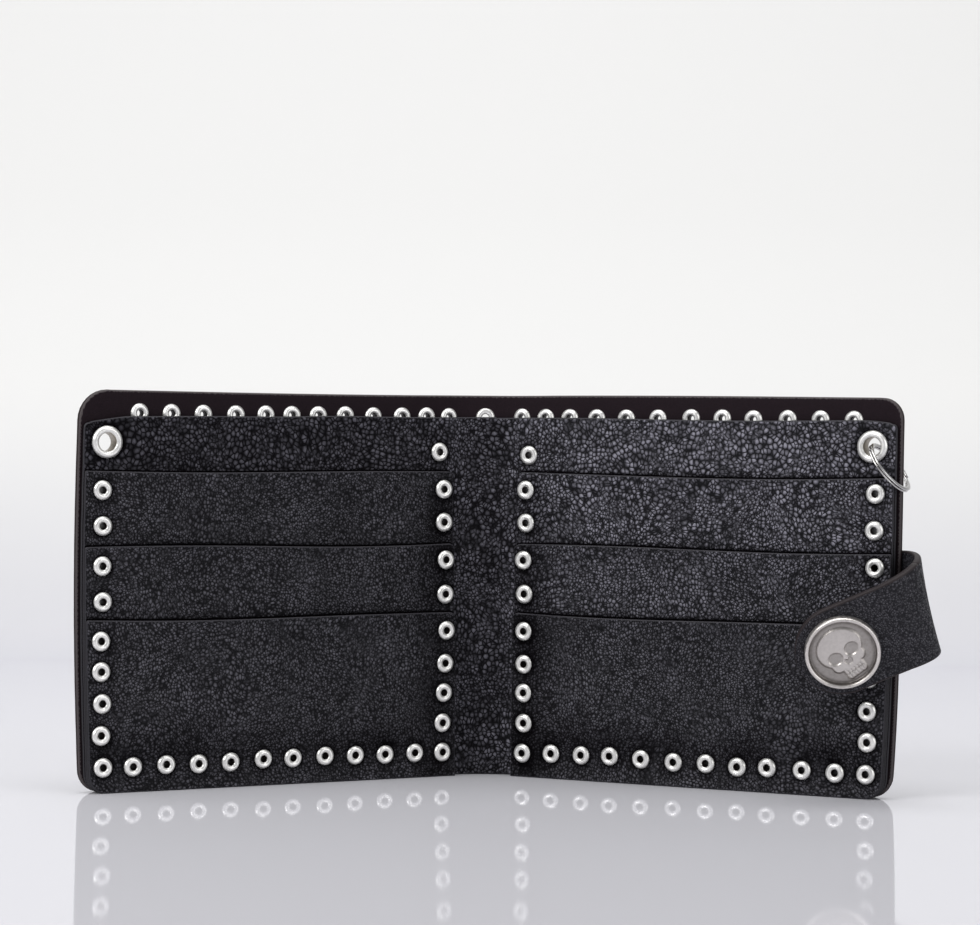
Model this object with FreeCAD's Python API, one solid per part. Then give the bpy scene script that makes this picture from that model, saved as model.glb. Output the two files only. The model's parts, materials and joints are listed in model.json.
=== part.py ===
"""Bifold leather chain wallet, open and standing on its bottom edge.

The spine strip runs along Z. Each half hangs on a crease beside the spine and
folds towards -Y. Everything on a half is built flat, as the right half with X
running away from the crease and -Y towards the card pockets, then folded to
the resting angle. The left half is the mirror image across X = 0.
All sizes are millimetres.
"""
import FreeCAD
import Part

import math
import os
from collections import namedtuple

from FreeCAD import Placement, Rotation, Vector

# ---- Driving dimensions -----------------------------------------------------

HEIGHT = 99.2                # bottom edge to top edge
CREASE_X = 7.0               # crease axis to the middle of the spine
FOLD_REST = 28.8             # each half, forward of flat, as it stands

COVER_T = 1.8                # outer leather
LINER_T = 1.2                # bill compartment lining
POCKET_T = 1.0               # each card pocket panel
LINER_H = 93.4
LINER_DIP = 1.3              # the lining's top edge drops towards the outer corner
POCKET_START = 2.95          # crease axis to the inner edge of the pockets
POCKET_TOPS = (79.4, 60.7, 42.8)

COVER_CORNER_R = 5.5
LINER_CORNER_R = 4.5
LINER_TOP_R = 1.2
POCKET_CORNER_R = 4.2
POCKET_TOP_R = 3.0
COVER_CREASE_GAP = 0.85      # room beside the crease axis for the fold
LINER_CREASE_GAP = 1.95

# Small eyelets
EYELET_HOLE_R = 0.9
EYELET_BARREL_R = 1.4
EYELET_FLANGE_R = 2.45
EYELET_REAR_R = 2.1
EYELET_RISE = 0.8
EYELET_REAR_RISE = 0.5
LIP_SHARE = 0.45             # height of the hole's lip, as a share of the rise
LEATHER_HOLE_R = 1.45
TOP_ROW_Z = 93.5
TOP_RELIEF_R = 2.7
TOP_RELIEF_DEPTH = 0.95
REAR_RELIEF_R = 2.3          # seats in the strap for the eyelet rims under it
REAR_RELIEF_DEPTH = 0.6

# Big eyelets for the chain
CHAIN_HOLE_R = 2.3
CHAIN_BARREL_R = 2.75
CHAIN_FLANGE_R = 4.05
CHAIN_REAR_R = 3.7
CHAIN_RISE = 0.9
CHAIN_REAR_RISE = 0.7
CHAIN_LEATHER_R = 2.8

# Split ring
RING_R = 6.65                # to the middle of the wire
RING_WIRE_R = 0.65
RING_HANG = 52.0             # below horizontal, as it hangs on the cover's edge

# Strap
STRAP_T = 1.8
STRAP_HALF_W = 11.6
STRAP_Z = 49.9
STRAP_START = 64.0           # inner end of the sewn part on the back
STRAP_ROOT = 108.4           # where the loop round the edge begins
LOOP_LENGTH = 23.0
LOOP_TURN = 160.0
LOOP_AXIS = Vector(0.179, 0.197, -0.964)
LOOP_CONE = 0.26             # the lower edge of the loop stands out further
LOOP_HINGES = (0.25, 0.75)   # bending lines, as fractions of the loop
HINGE_HALF_GAP = 1.3
STRAP_BUTTON_AT = 13.8       # end of the loop to the button's centre

# Button, snap and rivets
BUTTON_R = 9.25
BUTTON_BASE_T = 1.2
BUTTON_RIM_T = 2.6
BUTTON_RIM_W = 1.0
BUTTON_BEVEL = 0.4
BUTTON_FIELD_SLOPE = 0.3
BUTTON_POST_R = 1.5
POST_HOLE_R = 1.55
SOCKET_R = 5.2
SOCKET_T = 2.3
SOCKET_MOUTH_R = 2.4
SOCKET_MOUTH_DEPTH = 1.6
SOCKET_BEVEL = 0.5
STUD_X = 89.9                # crease axis to the snap stud on the left half
STUD_BASE_R = 5.2
STUD_BASE_T = 0.8
STUD_NECK_R = 1.7
STUD_NECK_LENGTH = 0.7
STUD_BALL_R = 2.25
STUD_HEIGHT = 2.9
STUD_BEVEL = 0.5
RIVET_XS = (70.0, 82.0)
RIVET_HEAD_R = 4.0
RIVET_HEAD_T = 1.1
RIVET_RIM_T = 0.3
RIVET_CROWN_R = 3.0
RIVET_CROWN_T = 0.9
RIVET_SHANK_R = 1.4
BACK_PLATE_R = 4.3
BACK_PLATE_T = 0.5
BACK_RELIEF_R = 4.6
BACK_RELIEF_DEPTH = 0.65

# ---- Depth levels, measured inwards from the crease axis ----------------------

BACK = -COVER_T / 2
COVER_FACE = COVER_T / 2
LINER_FACE = COVER_FACE + LINER_T
POCKET_FACES = [LINER_FACE + POCKET_T * (n + 1) for n in range(len(POCKET_TOPS))]
CUT_MARGIN = 1.0
Z_AXIS = Vector(0, 0, 1)
CREASE = Vector(CREASE_X, 0, 0)

# ---- What differs between the halves --------------------------------------------
# Widths run from the crease axis to the outer edge. The top row is set by hand, so
# its eyelets are listed by their distance from the crease axis.

# The eyelets are set by hand, so each half has its own places: (reach, height) pairs.
Half = namedtuple("Half", "cover_w liner_w pocket_w chain_at outer inner bottom top_row")
HALVES = {
    "left": Half(
        cover_w=107.1, liner_w=106.4, pocket_w=106.2, chain_at=(100.1, 86.4),
        outer=(
            (101.6, 74.6), (101.6, 65.7), (101.9, 56.0), (102.0, 47.2), (102.6, 37.5),
            (102.6, 30.1), (102.5, 22.2), (102.6, 14.3), (102.1, 6.4)),
        inner=(
            (6.8, 84.3), (5.9, 74.7), (5.8, 66.1), (5.7, 56.3), (5.7, 47.5),
            (6.0, 38.1), (6.2, 29.6), (6.6, 21.8), (6.8, 13.9), (6.8, 6.4)),
        bottom=(
            (15.1, 6.6), (23.7, 6.5), (32.3, 6.5), (41.0, 6.8), (50.2, 6.7),
            (58.6, 6.7), (67.5, 6.5), (76.4, 6.4), (85.1, 6.4), (94.2, 6.2)),
        top_row=(3.5, 10.0, 17.2, 25.6, 33.9, 41.5, 48.9, 56.4, 64.6, 73.6, 82.3, 90.8)),
    "right": Half(
        cover_w=108.1, liner_w=107.3, pocket_w=107.1, chain_at=(101.2, 87.1),
        outer=(
            (102.5, 75.4), (102.5, 66.4), (103.0, 57.2), (102.8, 48.0), (102.5, 38.3),
            (102.2, 30.1), (101.9, 21.8), (102.2, 14.2), (102.0, 6.1)),
        inner=(
            (6.0, 83.9), (5.8, 74.7), (5.9, 66.1), (5.8, 56.4), (6.2, 47.6),
            (6.6, 37.9), (6.8, 29.5), (6.8, 21.9), (6.9, 14.1), (6.5, 6.2)),
        bottom=(
            (15.0, 6.6), (23.7, 6.5), (31.9, 6.7), (40.7, 6.5), (49.7, 6.3),
            (58.9, 6.4), (67.5, 6.1), (75.6, 6.3), (85.0, 6.3), (93.9, 6.0)),
        top_row=(3.5, 10.3, 17.4, 25.1, 33.5, 42.4, 51.6, 60.4, 68.9, 78.1, 87.0, 95.7)),
}


# ---- Placing ------------------------------------------------------------------

def at(reach, depth, height):
    """Point on the flat right half: along the panel, inwards, up."""
    return Vector(CREASE_X + reach, -depth, height)


def folded(shape):
    """Fold a flat right-half shape to the resting angle."""
    result = shape.copy()
    result.rotate(CREASE, Z_AXIS, -FOLD_REST)
    return result


def mirrored(shape):
    return shape.mirror(Vector(0, 0, 0), Vector(1, 0, 0))


def export(name, solids):
    """Write one node from its solids."""
    shape = solids[0] if len(solids) == 1 else Part.makeCompound(solids)
    shape.exportStep("parts/" + name + ".step")


# ---- Panels -------------------------------------------------------------------

def corner(reach, height, radius, start):
    """Ends and middle of a quarter arc, turning clockwise from its start angle."""
    marks = []
    for angle in (start, start - 45, start - 90):
        turn = math.radians(angle)
        marks.append(Vector(CREASE_X + reach + radius * math.cos(turn), 0, height + radius * math.sin(turn)))
    return marks


def panel(left, right, top_left, top_right, radii, back, thickness):
    """Plate standing on Z = 0, from reach left to right, with rounded corners.

    radii are top left, top right, bottom right and bottom left. back is the depth
    of its outer face.
    """
    tl, tr, br, bl = radii
    corners = [
        corner(left + tl, top_left - tl, tl, 180),
        corner(right - tr, top_right - tr, tr, 90),
        corner(right - br, br, br, 0),
        corner(left + bl, bl, bl, 270),
    ]
    edges = []
    for radius, arc, following in zip(radii, corners, corners[1:] + corners[:1]):
        if radius > 0:
            edges.append(Part.Arc(*arc).toShape())
        edges.append(Part.LineSegment(arc[-1], following[0]).toShape())
    wire = Part.Wire(Part.__sortEdges__(edges))
    wire.translate(Vector(0, -back, 0))
    return Part.Face(wire).extrude(Vector(0, -thickness, 0))


def bore(reach, height, radius, low, high):
    """Cylinder through depths low to high."""
    return Part.makeCylinder(radius, high - low, at(reach, low, height), Vector(0, -1, 0))


def drilled(plate, places, radius):
    """Cut round holes at (reach, height) places through everything on the panel."""
    low = BACK - STRAP_T - CUT_MARGIN
    high = POCKET_FACES[-1] + CUT_MARGIN
    return plate.cut([bore(reach, height, radius, low, high) for reach, height in places])


# ---- Where the eyelets sit ------------------------------------------------------

def stack_places(half):
    return half.outer + half.inner + half.bottom


def top_places(half):
    return [(reach, TOP_ROW_Z) for reach in half.top_row]


def face_at(height):
    """Depth of the topmost layer at this height."""
    depth = LINER_FACE
    for top, face in zip(POCKET_TOPS, POCKET_FACES):
        if height < top:
            depth = face
    return depth


# ---- Eyelets --------------------------------------------------------------------

def eyelet(reach, height, depth, sizes):
    """Tubular eyelet: domed flange inside, barrel, rolled rim on the back."""
    hole, barrel, flange, rear, rise, rear_rise = sizes
    crest = (hole + flange) / 2
    rear_crest = (hole + rear) / 2

    def mark(radius, level):
        return Vector(radius, 0, level)

    lip = depth + rise * LIP_SHARE
    rear_lip = BACK - rear_rise * LIP_SHARE
    front_arc = Part.Arc(mark(hole, lip), mark(crest, depth + rise), mark(flange, depth))
    rear_arc = Part.Arc(mark(rear, BACK), mark(rear_crest, BACK - rear_rise), mark(hole, rear_lip))
    outline = [
        front_arc.toShape(),
        Part.LineSegment(mark(flange, depth), mark(barrel, depth)).toShape(),
        Part.LineSegment(mark(barrel, depth), mark(barrel, BACK)).toShape(),
        Part.LineSegment(mark(barrel, BACK), mark(rear, BACK)).toShape(),
        rear_arc.toShape(),
        Part.LineSegment(mark(hole, rear_lip), mark(hole, lip)).toShape(),
    ]
    profile = Part.Face(Part.Wire(Part.__sortEdges__(outline)))
    solid = profile.revolve(Vector(0, 0, 0), Z_AXIS, 360)
    # The profile's axis is Z: lay it along -Y, so that depth runs inwards.
    solid.Placement = Placement(at(reach, 0, height), Rotation(Vector(1, 0, 0), 90))
    return solid


SMALL_EYELET = (
    EYELET_HOLE_R, EYELET_BARREL_R, EYELET_FLANGE_R, EYELET_REAR_R, EYELET_RISE, EYELET_REAR_RISE)
CHAIN_EYELET = (
    CHAIN_HOLE_R, CHAIN_BARREL_R, CHAIN_FLANGE_R, CHAIN_REAR_R, CHAIN_RISE, CHAIN_REAR_RISE)


def stack_eyelets(places):
    return [eyelet(reach, z, face_at(z), SMALL_EYELET) for reach, z in places]


# ---- One half, flat ---------------------------------------------------------------

def cover_half(half):
    plate = panel(
        COVER_CREASE_GAP, half.cover_w, HEIGHT, HEIGHT,
        (0, COVER_CORNER_R, COVER_CORNER_R, 0), BACK, COVER_T)
    plate = drilled(plate, list(stack_places(half)) + top_places(half), LEATHER_HOLE_R)
    return drilled(plate, [half.chain_at], CHAIN_LEATHER_R)


def liner_half(half):
    plate = panel(
        LINER_CREASE_GAP, half.liner_w, LINER_H, LINER_H - LINER_DIP,
        (0, LINER_TOP_R, LINER_CORNER_R, 0), COVER_FACE, LINER_T)
    plate = drilled(plate, stack_places(half), LEATHER_HOLE_R)
    plate = drilled(plate, [half.chain_at], CHAIN_LEATHER_R)
    low, high = COVER_FACE - CUT_MARGIN, COVER_FACE + TOP_RELIEF_DEPTH
    return plate.cut([bore(reach, z, TOP_RELIEF_R, low, high) for reach, z in top_places(half)])


def relieved(liner, places):
    """Shallow seats in the liner's back for the plates riveted through the cover."""
    low = COVER_FACE - CUT_MARGIN
    high = COVER_FACE + BACK_RELIEF_DEPTH
    return liner.cut([bore(reach, z, BACK_RELIEF_R, low, high) for reach, z in places])


def pocket(half, level):
    top = POCKET_TOPS[level]
    back = POCKET_FACES[level] - POCKET_T
    plate = panel(
        POCKET_START, half.pocket_w, top, top,
        (POCKET_TOP_R, 0, POCKET_CORNER_R, 0), back, POCKET_T)
    places = [place for place in stack_places(half) if place[1] < top]
    return drilled(plate, places, LEATHER_HOLE_R)


# ---- Spine ------------------------------------------------------------------------

def spine_plate(half_width, top, back, thickness):
    return Part.makeBox(2 * half_width, thickness, top, Vector(-half_width, -back - thickness, 0))


def spine_nodes():
    low = BACK - CUT_MARGIN
    high = POCKET_FACES[-1]
    hole = bore(-CREASE_X, TOP_ROW_Z, LEATHER_HOLE_R, low, high)
    relief = bore(-CREASE_X, TOP_ROW_Z, TOP_RELIEF_R, COVER_FACE - CUT_MARGIN, COVER_FACE + TOP_RELIEF_DEPTH)
    cover = spine_plate(CREASE_X - COVER_CREASE_GAP, HEIGHT, BACK, COVER_T).cut(hole)
    liner = spine_plate(CREASE_X - LINER_CREASE_GAP, LINER_H, COVER_FACE, LINER_T).cut(relief)
    return {
        "cover_spine": [cover],
        "liner_spine": [liner],
        "eyelet_spine_top": [eyelet(-CREASE_X, TOP_ROW_Z, COVER_FACE, SMALL_EYELET)],
    }


# ---- Strap ------------------------------------------------------------------------

class Station:
    """Cross-section of the strap: centre, direction, width and outward normal."""

    def __init__(self, centre, along, width, outward):
        self.centre = centre
        self.along = along
        self.width = width
        self.outward = outward

    def moved(self, distance):
        return Station(self.centre + self.along * distance, self.along, self.width, self.outward)

    def wire(self):
        side = self.width * STRAP_HALF_W
        lift = self.outward * (STRAP_T / 2)
        points = [
            self.centre - side - lift,
            self.centre + side - lift,
            self.centre + side + lift,
            self.centre - side + lift,
        ]
        return Part.makePolygon(points + points[:1])


STRAP_DEPTH = BACK - STRAP_T / 2


def loop_turned(direction, fraction):
    return Rotation(LOOP_AXIS, LOOP_TURN * fraction).multVec(direction)


def loop_station(fraction):
    """Section of the loop: it bends evenly about one leaning axis."""
    steps = 60
    centre = at(STRAP_ROOT, STRAP_DEPTH, STRAP_Z)
    for n in range(steps):
        middle = fraction * (n + 0.5) / steps
        centre = centre + loop_turned(Vector(1, 0, 0), middle) * (LOOP_LENGTH * fraction / steps)
    width = loop_turned(Z_AXIS, fraction) - Vector(1, 0, 0) * (LOOP_CONE * math.sin(math.pi * fraction))
    return Station(
        centre, loop_turned(Vector(1, 0, 0), fraction), width, loop_turned(Vector(0, 1, 0), fraction))


def loop_between(start, end, count):
    return [loop_station(start + (end - start) * n / count) for n in range(count + 1)]


def strap_run(stations):
    return Part.makeLoft([station.wire() for station in stations], True, True)


def rounded_end(station):
    """Disc that rounds the strap's end about a station."""
    return Part.makeCylinder(
        STRAP_HALF_W, STRAP_T, station.centre - station.outward * (STRAP_T / 2), station.outward)


def strap_nodes():
    gap = HINGE_HALF_GAP / LOOP_LENGTH
    first, second = LOOP_HINGES
    root = loop_station(0)
    inner_end = root.moved(STRAP_START + STRAP_HALF_W - STRAP_ROOT)
    anchor = strap_run([inner_end] + loop_between(0, first - gap, 3))
    anchor = anchor.fuse(rounded_end(inner_end)).removeSplitter()
    anchor = drilled(anchor, [(x, STRAP_Z) for x in RIVET_XS], LEATHER_HOLE_R)
    low = BACK - REAR_RELIEF_DEPTH
    seats = [bore(x, z, REAR_RELIEF_R, low, COVER_FACE) for x, z in HALVES["right"].outer]
    anchor = anchor.cut(seats)

    loop = strap_run(loop_between(first + gap, second - gap, 6))

    tip = loop_station(1)
    button = tip.moved(STRAP_BUTTON_AT)
    front = strap_run(loop_between(second + gap, 1, 3) + [button])
    front = front.fuse(rounded_end(button)).removeSplitter()
    hole = Part.makeCylinder(
        POST_HOLE_R, STRAP_T + 2 * CUT_MARGIN,
        button.centre - button.outward * (STRAP_T / 2 + CUT_MARGIN), button.outward)
    front = front.cut(hole)
    return {"strap_anchor": [anchor], "strap_loop": [loop], "strap_front": [front]}, button


def turned(points):
    """Solid of revolution about Z from (radius, height) points."""
    outline = [Vector(radius, 0, height) for radius, height in points]
    return Part.Face(Part.makePolygon(outline + outline[:1])).revolve(Vector(0, 0, 0), Z_AXIS, 360)


def button_nodes(button):
    """The button on the strap's face, with its post, and the socket behind."""
    field = BUTTON_R - BUTTON_RIM_W
    disc = turned([
        (0, -STRAP_T), (BUTTON_POST_R, -STRAP_T), (BUTTON_POST_R, 0), (BUTTON_R - BUTTON_BEVEL, 0),
        (BUTTON_R, BUTTON_BEVEL), (BUTTON_R, BUTTON_RIM_T - BUTTON_BEVEL),
        (BUTTON_R - BUTTON_BEVEL, BUTTON_RIM_T), (field, BUTTON_RIM_T),
        (field - BUTTON_FIELD_SLOPE, BUTTON_BASE_T), (0, BUTTON_BASE_T)])
    cup = SOCKET_MOUTH_DEPTH - SOCKET_T
    socket = turned([
        (0, 0), (SOCKET_R - SOCKET_BEVEL, 0), (SOCKET_R, -SOCKET_BEVEL), (SOCKET_R, SOCKET_BEVEL - SOCKET_T),
        (SOCKET_R - SOCKET_BEVEL, -SOCKET_T), (SOCKET_MOUTH_R, -SOCKET_T), (SOCKET_MOUTH_R, cup), (0, cup)])
    spin = Rotation(button.along * -1, button.width, button.outward, "ZXY")
    face = button.centre + button.outward * (STRAP_T / 2)
    disc.Placement = Placement(face, spin)
    socket.Placement = Placement(button.centre - button.outward * (STRAP_T / 2), spin)
    return {"concho_button": [disc], "snap_socket": [socket]}


# ---- Rivets and stud through the cover ----------------------------------------------

def outward_turned(points, reach, height, depth):
    """Solid of revolution whose axis points out of the wallet's back."""
    solid = turned(points)
    solid.Placement = Placement(at(reach, depth, height), Rotation(Vector(1, 0, 0), -90))
    return solid


def back_plate(reach, height):
    return bore(reach, height, BACK_PLATE_R, COVER_FACE, COVER_FACE + BACK_PLATE_T)


def strap_rivet(reach):
    shank = STRAP_T + COVER_T
    points = [
        (0, -shank), (RIVET_SHANK_R, -shank), (RIVET_SHANK_R, 0), (RIVET_HEAD_R, 0),
        (RIVET_HEAD_R, RIVET_RIM_T), (RIVET_CROWN_R, RIVET_CROWN_T), (0, RIVET_HEAD_T)]
    return outward_turned(points, reach, STRAP_Z, BACK - STRAP_T)


def snap_stud():
    waist = STUD_BASE_T + STUD_NECK_LENGTH
    points = [
        (0, -COVER_T), (RIVET_SHANK_R, -COVER_T), (RIVET_SHANK_R, 0), (STUD_BASE_R, 0),
        (STUD_BASE_R, STUD_BASE_T - RIVET_RIM_T), (STUD_BASE_R - STUD_BEVEL, STUD_BASE_T),
        (STUD_NECK_R, STUD_BASE_T), (STUD_NECK_R, waist), (STUD_BALL_R, waist + STUD_BEVEL),
        (STUD_BALL_R, STUD_HEIGHT - STUD_BEVEL), (STUD_BALL_R - STUD_BEVEL, STUD_HEIGHT), (0, STUD_HEIGHT)]
    return outward_turned(points, STUD_X, STRAP_Z, BACK)


# ---- Ring ---------------------------------------------------------------------------

def split_ring(half):
    hang = math.radians(RING_HANG)
    out = Vector(math.cos(hang), 0, -math.sin(hang))
    reach, height = half.chain_at
    centre = at(reach, (BACK + LINER_FACE) / 2, height) + out * RING_R
    normal = out.cross(Vector(0, 1, 0))
    return Part.makeTorus(RING_R, RING_WIRE_R, centre, normal)


# ---- Assembly -----------------------------------------------------------------------

def half_nodes(side):
    """Flat solids of one half, named for its side."""
    half = HALVES[side]
    plated = [(reach, STRAP_Z) for reach in (RIVET_XS if side == "right" else [STUD_X])]
    chain_reach, chain_height = half.chain_at
    nodes = {
        "cover_" + side: [drilled(cover_half(half), plated, LEATHER_HOLE_R)],
        "liner_" + side: [relieved(liner_half(half), plated)],
        "eyelets_" + side + "_outer": stack_eyelets(half.outer),
        "eyelets_" + side + "_inner": stack_eyelets(half.inner),
        "eyelets_" + side + "_bottom": stack_eyelets(half.bottom),
        "eyelets_" + side + "_top": [eyelet(x, z, COVER_FACE, SMALL_EYELET) for x, z in top_places(half)],
        "chain_eyelet_" + side: [eyelet(chain_reach, chain_height, LINER_FACE, CHAIN_EYELET)],
    }
    for level, name in enumerate(("upper", "middle", "lower")):
        nodes["pocket_" + side + "_" + name] = [pocket(half, level)]
    return nodes


def build():
    nodes = spine_nodes()
    for name, solids in half_nodes("left").items():
        nodes[name] = [mirrored(folded(solid)) for solid in solids]
    nodes["snap_stud"] = [mirrored(folded(snap_stud()))]
    nodes["snap_stud_plate"] = [mirrored(folded(back_plate(STUD_X, STRAP_Z)))]

    right = half_nodes("right")
    strap, button = strap_nodes()
    right.update(strap)
    right.update(button_nodes(button))
    right["strap_rivets"] = [strap_rivet(x) for x in RIVET_XS]
    right["strap_rivet_plates"] = [back_plate(x, STRAP_Z) for x in RIVET_XS]
    right["split_ring"] = [split_ring(HALVES["right"])]
    for name, solids in right.items():
        nodes[name] = [folded(solid) for solid in solids]
    return nodes


os.makedirs("parts", exist_ok=True)
for node, node_solids in build().items():
    export(node, node_solids)
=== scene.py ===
"""Looks of the bifold chain wallet: leather panels, eyelets, strap, button and ring.

The opened wallet is described flat: s runs across it from the middle of the spine
(negative on the left half), depth runs from the crease axis towards the pockets and
height runs up. place() folds flat points to the resting pose. Units are metres.
"""
import json
import math
import random

import bpy
import numpy as np
from mathutils import Matrix, Quaternion, Vector, geometry


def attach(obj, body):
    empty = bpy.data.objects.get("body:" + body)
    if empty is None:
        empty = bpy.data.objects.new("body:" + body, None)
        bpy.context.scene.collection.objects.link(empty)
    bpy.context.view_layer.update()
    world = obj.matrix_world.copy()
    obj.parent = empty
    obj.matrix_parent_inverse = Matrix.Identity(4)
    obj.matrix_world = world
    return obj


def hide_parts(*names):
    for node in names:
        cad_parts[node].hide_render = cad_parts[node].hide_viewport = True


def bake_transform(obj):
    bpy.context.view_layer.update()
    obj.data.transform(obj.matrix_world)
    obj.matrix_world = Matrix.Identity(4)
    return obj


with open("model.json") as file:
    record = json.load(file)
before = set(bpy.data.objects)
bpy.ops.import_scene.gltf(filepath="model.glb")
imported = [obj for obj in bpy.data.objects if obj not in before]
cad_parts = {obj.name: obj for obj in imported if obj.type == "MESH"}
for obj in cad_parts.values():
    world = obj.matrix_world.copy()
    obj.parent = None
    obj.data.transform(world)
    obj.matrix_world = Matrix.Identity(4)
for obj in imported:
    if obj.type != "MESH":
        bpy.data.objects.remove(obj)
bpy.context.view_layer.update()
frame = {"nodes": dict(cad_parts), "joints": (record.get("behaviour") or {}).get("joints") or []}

MM = 0.001

# ---- The frame's own sizes

JOINTS = {joint["name"]: joint for joint in frame["joints"]}
CREASE_X = JOINTS["fold_right"]["pos_m"][0]
FOLD = math.radians(-JOINTS["fold_right"]["range_deg"][0])
BEND = 3.5 * MM                    # half the width of the rounded crease
SEAM_S = 2.9 * MM                  # where the left and right leathers meet on the spine
LEFT, RIGHT = -1, 1
SIDES = {"left": LEFT, "right": RIGHT}
LEVELS = ("upper", "middle", "lower")


def mesh_points(node):
    """Vertices of a CAD node as an array."""
    mesh = frame["nodes"][node].data
    points = np.zeros(len(mesh.vertices) * 3)
    mesh.vertices.foreach_get("co", points)
    return points.reshape(-1, 3)


def flat_points(node, side):
    """A CAD node's vertices as (reach from the crease, depth, height)."""
    points = mesh_points(node)
    across = side * points[:, 0] - CREASE_X
    reach = across * math.cos(FOLD) - points[:, 1] * math.sin(FOLD)
    depth = -across * math.sin(FOLD) - points[:, 1] * math.cos(FOLD)
    return np.stack([reach, depth, points[:, 2]], 1)


def flat_box(node, side):
    points = flat_points(node, side)
    return points.min(0), points.max(0)


def places_of(node, side):
    """Centres of the eyelets in a node, as (reach, height), and the depth they reach."""
    points = flat_points(node, side)
    axis = 0 if np.ptp(points[:, 0]) > np.ptp(points[:, 2]) else 2
    points = points[np.argsort(points[:, axis])]
    cuts = np.nonzero(np.diff(points[:, axis]) > 1 * MM)[0] + 1
    found = []
    for group in np.split(points, cuts):
        low, high = group.min(0), group.max(0)
        found.append(((low[0] + high[0]) / 2, (low[2] + high[2]) / 2, high[1]))
    return found


PANEL_BOXES = {
    (node, name): flat_box(node + "_" + name, side)
    for name, side in SIDES.items() for node in ("cover", "liner")}
POCKET_BOXES = {
    (name, level): flat_box("pocket_%s_%s" % (name, label), side)
    for name, side in SIDES.items() for level, label in enumerate(LEVELS)}
(_, BACK, _), (_, COVER_FACE, COVER_HEIGHT) = PANEL_BOXES["cover", "right"]
LINER_REACH, LINER_FACE, LINER_HEIGHT = PANEL_BOXES["liner", "right"][1]
POCKET_FACES = [POCKET_BOXES["right", level][1][1] for level in range(3)]
POCKET_TOPS = [POCKET_BOXES["right", level][1][2] for level in range(3)]

EYELET_RISE = 0.8 * MM
CHAIN_RISE = 0.9 * MM
ROWS = ("outer", "inner", "bottom")
STACK_EYELETS = {
    name: [spot for row in ROWS for spot in places_of("eyelets_%s_%s" % (name, row), side)]
    for name, side in SIDES.items()}
TOP_EYELETS = {name: places_of("eyelets_%s_top" % name, side) for name, side in SIDES.items()}
CHAIN_EYELETS = {name: places_of("chain_eyelet_" + name, side)[0] for name, side in SIDES.items()}
SPINE_EYELET_HEIGHT = TOP_EYELETS["right"][0][1]
REACHES, HEIGHTS, _ = zip(*(spot for spots in STACK_EYELETS.values() for spot in spots))
INNER_COLUMN, OUTER_COLUMN, BOTTOM_ROW = min(REACHES), max(REACHES), min(HEIGHTS)


def place(s, depth, height):
    """Fold flat points to the resting pose, with a round bend at each crease."""
    s, depth, height = np.broadcast_arrays(*(np.asarray(part, float) for part in (s, depth, height)))
    side = np.where(s < 0, -1.0, 1.0)
    reach = np.abs(s) - CREASE_X
    radius = BEND / math.tan(FOLD / 2)
    turn = FOLD * np.clip((reach + BEND) / (2 * BEND), 0, 1)
    x_bend = CREASE_X - BEND + (radius - depth) * np.sin(turn)
    y_bend = -radius + (radius - depth) * np.cos(turn)
    x_half = CREASE_X + reach * math.cos(FOLD) - depth * math.sin(FOLD)
    y_half = -reach * math.sin(FOLD) - depth * math.cos(FOLD)
    x = np.where(reach >= BEND, x_half, np.where(reach <= -BEND, CREASE_X + reach, x_bend))
    y = np.where(reach >= BEND, y_half, np.where(reach <= -BEND, -depth, y_bend))
    return np.stack([side * x, y, height], -1)


# ---- Camera, light and floor

CAMERA_AT = (-12.64 * MM, -838.4 * MM, 89.96 * MM)
CAMERA_YAW = 0.977                 # degrees towards +X
CAMERA_PITCH = 3.093               # degrees down
CAMERA_ROLL = 0.538
LENS = 117.55                      # on a 36 mm sensor
SHIFT_UP = 0.1444


def make_camera():
    data = bpy.data.cameras.new("camera")
    data.lens = LENS
    data.sensor_width = 36
    data.shift_y = SHIFT_UP
    camera = bpy.data.objects.new("camera", data)
    turn = Matrix.Rotation(math.radians(-CAMERA_YAW), 4, "Z")
    tilt = Matrix.Rotation(math.radians(90 - CAMERA_PITCH), 4, "X")
    roll = Matrix.Rotation(math.radians(CAMERA_ROLL), 4, "Z")
    camera.matrix_world = Matrix.Translation(CAMERA_AT) @ turn @ tilt @ roll
    bpy.context.scene.collection.objects.link(camera)
    bpy.context.scene.camera = camera


def softbox(name, location, target, width, height, power):
    data = bpy.data.lights.new(name, "AREA")
    data.shape = "RECTANGLE"
    data.size = width
    data.size_y = height
    data.energy = power
    lamp = bpy.data.objects.new(name, data)
    lamp.location = location
    lamp.rotation_euler = (Vector(target) - Vector(location)).to_track_quat("-Z", "Y").to_euler()
    lamp.visible_camera = False
    bpy.context.scene.collection.objects.link(lamp)


def make_studio():
    bpy.context.scene.view_settings.view_transform = "Standard"
    world = bpy.data.worlds.new("studio")
    world.use_nodes = True
    background = world.node_tree.nodes["Background"]
    background.inputs["Color"].default_value = (0.96, 0.97, 1.0, 1)
    background.inputs["Strength"].default_value = 0.36
    bpy.context.scene.world = world
    aim = (0, -0.03, 0.05)
    softbox("key", (-0.85, -0.70, 0.75), aim, 0.6, 0.6, 7.8)
    softbox("fill", (0.9, -0.65, 0.45), aim, 0.5, 0.8, 2.6)
    softbox("top", (0, -0.15, 1.1), aim, 1.0, 0.5, 5.6)
    softbox("backdrop", (0, 0.35, 1.3), (0, 1.2, 0.35), 2.0, 0.5, 7.5)


FLOOR_TINT = (0.565, 0.56, 0.605, 1)
WALL_TINT = (0.82, 0.815, 0.80, 1)
GLOSS_TINT = (0.96, 0.965, 1.0, 1)


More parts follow.
